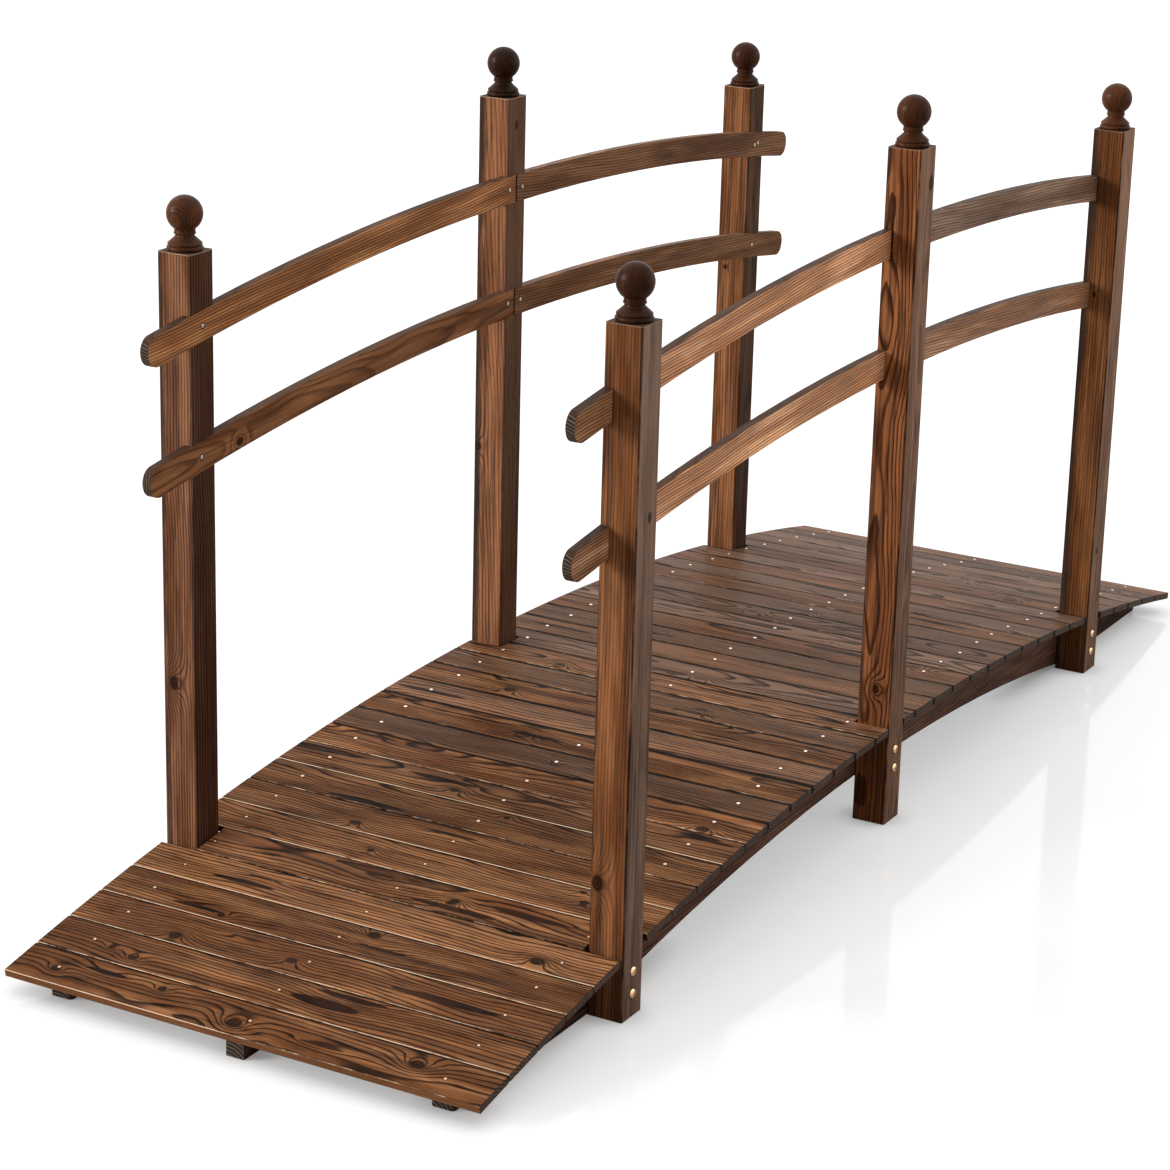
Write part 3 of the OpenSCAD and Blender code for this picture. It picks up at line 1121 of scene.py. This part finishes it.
# Screws in the side beams' ends
END_SCREW_Z = 11 * MM
spots = []
for side, sign in SIDES.items():
    low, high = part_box(f"beam_{side}")
    for x, way in ((low.x, -1), (high.x, 1)):
        spots.append(facing((x, (low.y + high.y) / 2, END_SCREW_Z), (way, 0, 0)))
end_screws = turned(SCREW_HEAD, SCREW_SEGMENTS)
place_copies("beam_end_screws", end_screws, spots, bright_steel)

# Floor: pale, lit as it lies, and white to the camera where nothing shades it
FLOOR_REACH = 40.0
FLOOR_Z = -0.5 * MM
FLOOR_COLOUR = (0.63, 0.63, 0.626, 1)
FLOOR_ROUGHNESS = 0.07
FLOOR_IOR = 1.32
FLOOR_CORNERS = [
    (-FLOOR_REACH, -FLOOR_REACH, 0),
    (FLOOR_REACH, -FLOOR_REACH, 0),
    (FLOOR_REACH, FLOOR_REACH, 0),
    (-FLOOR_REACH, FLOOR_REACH, 0),
]
floor_mesh = bpy.data.meshes.new("floor")
floor_mesh.from_pydata(FLOOR_CORNERS, [], [(0, 1, 2, 3)])
floor = bpy.data.objects.new("floor", floor_mesh)
floor.location.z = FLOOR_Z
bpy.context.scene.collection.objects.link(floor)

# Glow that the camera sees on the floor, dimmed into a painted contact shadow near feet and beams: how
# far that reaches, the glow's least and its further part
CONTACT_REACH = 35 * MM
CONTACT_SAMPLES = 4
GLOW_LEAST = 0.10
GLOW_MORE = 0.37
g = Graph("floor_white")
g.shader.inputs["Base Color"].default_value = FLOOR_COLOUR
g.shader.inputs["Roughness"].default_value = FLOOR_ROUGHNESS
g.shader.inputs["IOR"].default_value = FLOOR_IOR
ray = g.add("ShaderNodeLightPath")
seen = Value(g, ray.outputs["Is Camera Ray"])
corner = g.add("ShaderNodeAmbientOcclusion", samples=CONTACT_SAMPLES)
corner.inputs["Distance"].default_value = CONTACT_REACH
outside_contact_shadow = Value(g, corner.outputs["AO"])
g.shader.inputs["Emission Color"].default_value = (1, 1, 1, 1)
# Painted contact shadow: the glow dims where feet and beams close in
g.put(g.shader.inputs["Emission Strength"], seen * (outside_contact_shadow * GLOW_MORE + GLOW_LEAST))
paint(floor, g.material)

# World: even and white, at full strength only where it is seen, mirrored or seen through something
WORLD_LIGHT = 0.22
WORLD_SEEN = 1.0
world = bpy.data.worlds.new("studio")
bpy.context.scene.world = world
world.use_nodes = True
tree = world.node_tree
ray = tree.nodes.new("ShaderNodeLightPath")
sight = tree.nodes.new("ShaderNodeMath")
sight.operation = "MAXIMUM"
tree.links.new(ray.outputs["Is Camera Ray"], sight.inputs[0])
tree.links.new(ray.outputs["Is Glossy Ray"], sight.inputs[1])
clear = tree.nodes.new("ShaderNodeMath")
clear.operation = "MAXIMUM"
tree.links.new(sight.outputs[0], clear.inputs[0])
tree.links.new(ray.outputs["Is Transmission Ray"], clear.inputs[1])
strength = tree.nodes.new("ShaderNodeMapRange")
tree.links.new(clear.outputs[0], strength.inputs["Value"])
strength.inputs["To Min"].default_value = WORLD_LIGHT
strength.inputs["To Max"].default_value = WORLD_SEEN
tree.links.new(strength.outputs["Result"], tree.nodes["Background"].inputs["Strength"])
tree.nodes["Background"].inputs["Color"].default_value = (1, 1, 1, 1)


def lamp(name, towards_lamp, level, spread):
    """A wide even lamp far off. Level 1 lights a white surface that faces it to full white."""
    data = bpy.data.lights.new(name, "SUN")
    data.energy = level * math.pi
    data.angle = math.radians(spread)
    thing = bpy.data.objects.new(name, data)
    thing.rotation_mode = "QUATERNION"
    thing.rotation_quaternion = Vector(towards_lamp).to_track_quat("Z", "Y")
    bpy.context.scene.collection.objects.link(thing)


lamp("lamp_left", towards_lamp=(-0.62, 0.72, 0.30), level=0.85, spread=26)
lamp("lamp_top", towards_lamp=(0.05, 0.15, 1.0), level=0.50, spread=100)
lamp("lamp_right", towards_lamp=(0.50, -0.82, 0.20), level=0.25, spread=60)

# Camera, at the photograph's viewing angle
CAMERA_PLACE = (-3.9184, -2.0341, 1.7216)
CAMERA_AZIMUTH = math.radians(29.241)
CAMERA_DIP = math.radians(18.147)
CAMERA_ROLL = math.radians(-1.475)
CAMERA_SENSOR = 36.0
CAMERA_LENS = 102.12
ahead_x = math.cos(CAMERA_AZIMUTH) * math.cos(CAMERA_DIP)
ahead_y = math.sin(CAMERA_AZIMUTH) * math.cos(CAMERA_DIP)
ahead = Vector((ahead_x, ahead_y, -math.sin(CAMERA_DIP)))
level_right = ahead.cross(Vector((0, 0, 1))).normalized()
level_down = ahead.cross(level_right)
right = level_right * math.cos(CAMERA_ROLL) + level_down * math.sin(CAMERA_ROLL)
up = level_right * math.sin(CAMERA_ROLL) - level_down * math.cos(CAMERA_ROLL)
camera_data = bpy.data.cameras.new("camera")
camera_data.sensor_width = CAMERA_SENSOR
camera_data.lens = CAMERA_LENS
camera = bpy.data.objects.new("camera", camera_data)
bpy.context.scene.collection.objects.link(camera)
turn = Matrix((right, up, -ahead)).transposed()
camera.matrix_world = Matrix.Translation(CAMERA_PLACE) @ turn.to_4x4()
bpy.context.scene.camera = camera
bpy.context.scene.view_settings.view_transform = "Standard"
